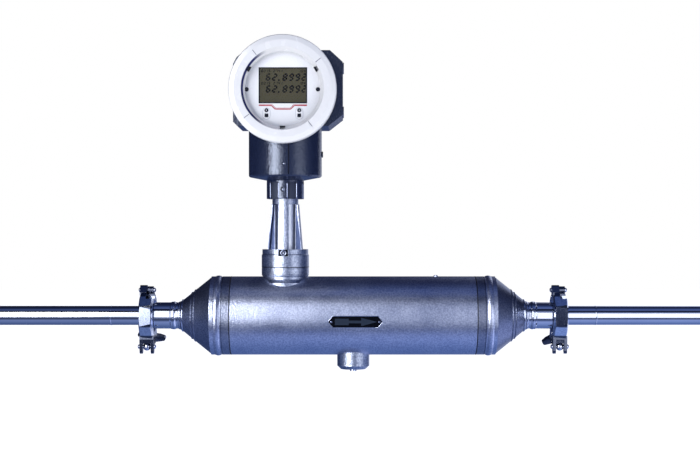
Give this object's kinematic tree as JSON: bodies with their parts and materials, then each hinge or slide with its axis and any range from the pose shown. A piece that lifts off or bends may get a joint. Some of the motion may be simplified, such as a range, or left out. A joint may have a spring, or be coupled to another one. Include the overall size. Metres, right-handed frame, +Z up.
{
  "type": "coriolis flow meter",
  "caption": "In-line coriolis flow meter: round steel sensor body clamped between two pipe runs, with a raised transmitter head and round display.",
  "frame": {"origin": "centre of the inlet pipe's open end, on the pipe axis", "axes": "+X along the pipe in the direction of flow, +Z up towards the transmitter head, the display faces -Y"},
  "size_m": [0.96, 0.174, 0.4366],
  "materials": {
    "polished_steel": "bright drawn tube and turned screws",
    "blasted_steel": "bead-blasted stainless shell",
    "cone_steel": "darker brushed cones with raised welds",
    "cast_steel": "fine cast stainless neck",
    "clamp_steel": "tumbled cast stainless clamps",
    "tube_steel": "plain inner steel",
    "coil_copper": "wound copper",
    "sensor_ceramic": "small ceramic and glass pieces",
    "gasket_rubber": "moulded black rubber",
    "arrow_plate": "black plate with a dark blue raised arrow",
    "navy_paint": "fine-textured dark navy powder coat on cast aluminium",
    "plug_steel": "plain blanking plugs",
    "white_cover": "smooth white front cover",
    "white_plate": "white printed plate",
    "lcd": "olive liquid-crystal window",
    "window_glass": "clear flat glass",
    "board_green": "circuit boards",
    "terminal_plastic": "terminal strip"
  },
  "bodies": {
    "meter": {"inlet_pipe": "polished_steel", "outlet_pipe": "polished_steel", "inlet_pipe_ferrule": "polished_steel", "outlet_pipe_ferrule": "polished_steel", "inlet_gasket": "gasket_rubber", "outlet_gasket": "gasket_rubber", "inlet_throat": "polished_steel", "outlet_throat": "polished_steel", "inlet_end_cone": "cone_steel", "outlet_end_cone": "cone_steel", "inlet_end_ring": "blasted_steel", "outlet_end_ring": "blasted_steel", "body_shell": "blasted_steel", "inlet_flow_splitter": "tube_steel", "outlet_flow_splitter": "tube_steel", "front_measuring_tube": "tube_steel", "rear_measuring_tube": "tube_steel", "inlet_brace_plates": "tube_steel", "outlet_brace_plates": "tube_steel", "drive_coil": "coil_copper", "drive_magnet": "tube_steel", "inlet_pickup_coil": "coil_copper", "inlet_pickup_magnet": "tube_steel", "outlet_pickup_coil": "coil_copper", "outlet_pickup_magnet": "tube_steel", "tube_temperature_sensor": "sensor_ceramic", "drain_boss": "cast_steel", "drain_plug": "polished_steel", "flow_arrow_plate": "arrow_plate", "neck_socket": "cast_steel", "wire_feedthrough": "sensor_ceramic", "neck_key_screw": "polished_steel", "ribbed_neck": "cast_steel", "clamp_hinge_pins": "polished_steel", "clamp_bolt_pins": "polished_steel", "inlet_clamp_front": "clamp_steel", "outlet_clamp_front": "clamp_steel"},
    "transmitter_head": {"swivel_collar": "navy_paint", "collar_set_screw": "polished_steel", "head_housing": "navy_paint", "housing_screws": "polished_steel", "conduit_plugs": "plug_steel", "cover_seals": "gasket_rubber", "display_plate": "white_plate", "display_module": "lcd", "operating_keys": "white_plate", "electronics_boards": "board_green", "terminal_block": "terminal_plastic"},
    "front_cover": {"front_cover_ring": "white_cover", "front_glass": "window_glass"},
    "rear_cover": {"rear_cover": "navy_paint"},
    "inlet_clamp_rear_half": {"inlet_clamp_rear": "clamp_steel"},
    "inlet_swing_bolt": {"inlet_swing_bolt": "polished_steel"},
    "inlet_wing_nut": {"inlet_wing_nut": "clamp_steel"},
    "outlet_clamp_rear_half": {"outlet_clamp_rear": "clamp_steel"},
    "outlet_swing_bolt": {"outlet_swing_bolt": "polished_steel"},
    "outlet_wing_nut": {"outlet_wing_nut": "clamp_steel"}
  },
  "joints": [
    {"name": "head_swivel", "type": "hinge", "parent": "meter", "child": "transmitter_head", "pos_m": [0.3896, 0, 0.165], "axis": [0, 0, 1], "range_deg": [-175, 175]},
    {"name": "front_cover_turn", "type": "hinge", "parent": "transmitter_head", "child": "front_cover", "pos_m": [0.3896, -0.08, 0.2937], "axis": [0, -1, 0], "continuous": true},
    {"name": "rear_cover_turn", "type": "hinge", "parent": "transmitter_head", "child": "rear_cover", "pos_m": [0.3896, 0.07, 0.2937], "axis": [0, 1, 0], "continuous": true},
    {"name": "inlet_clamp_hinge", "type": "hinge", "parent": "meter", "child": "inlet_clamp_rear_half", "pos_m": [0.2067, 0, 0.0338], "axis": [1, 0, 0], "range_deg": [0, 45]},
    {"name": "inlet_bolt_swing", "type": "hinge", "parent": "meter", "child": "inlet_swing_bolt", "pos_m": [0.2067, -0.009, -0.0408], "axis": [-1, 0, 0], "range_deg": [0, 180]},
    {"name": "inlet_nut_turn", "type": "hinge", "parent": "inlet_swing_bolt", "child": "inlet_wing_nut", "pos_m": [0.2067, 0.03502, -0.03144], "axis": [0, 0.9781, 0.2079], "continuous": true},
    {"name": "outlet_clamp_hinge", "type": "hinge", "parent": "meter", "child": "outlet_clamp_rear_half", "pos_m": [0.7533, 0, 0.0338], "axis": [1, 0, 0], "range_deg": [0, 45]},
    {"name": "outlet_bolt_swing", "type": "hinge", "parent": "meter", "child": "outlet_swing_bolt", "pos_m": [0.7533, -0.009, -0.0408], "axis": [-1, 0, 0], "range_deg": [0, 180]},
    {"name": "outlet_nut_turn", "type": "hinge", "parent": "outlet_swing_bolt", "child": "outlet_wing_nut", "pos_m": [0.7533, 0.03502, -0.03144], "axis": [0, 0.9781, 0.2079], "continuous": true}
  ],
  "couplings": [
    {"joint": "inlet_bolt_swing", "follows": "inlet_clamp_hinge", "ratio": 4},
    {"joint": "outlet_bolt_swing", "follows": "outlet_clamp_hinge", "ratio": 4}
  ]
}
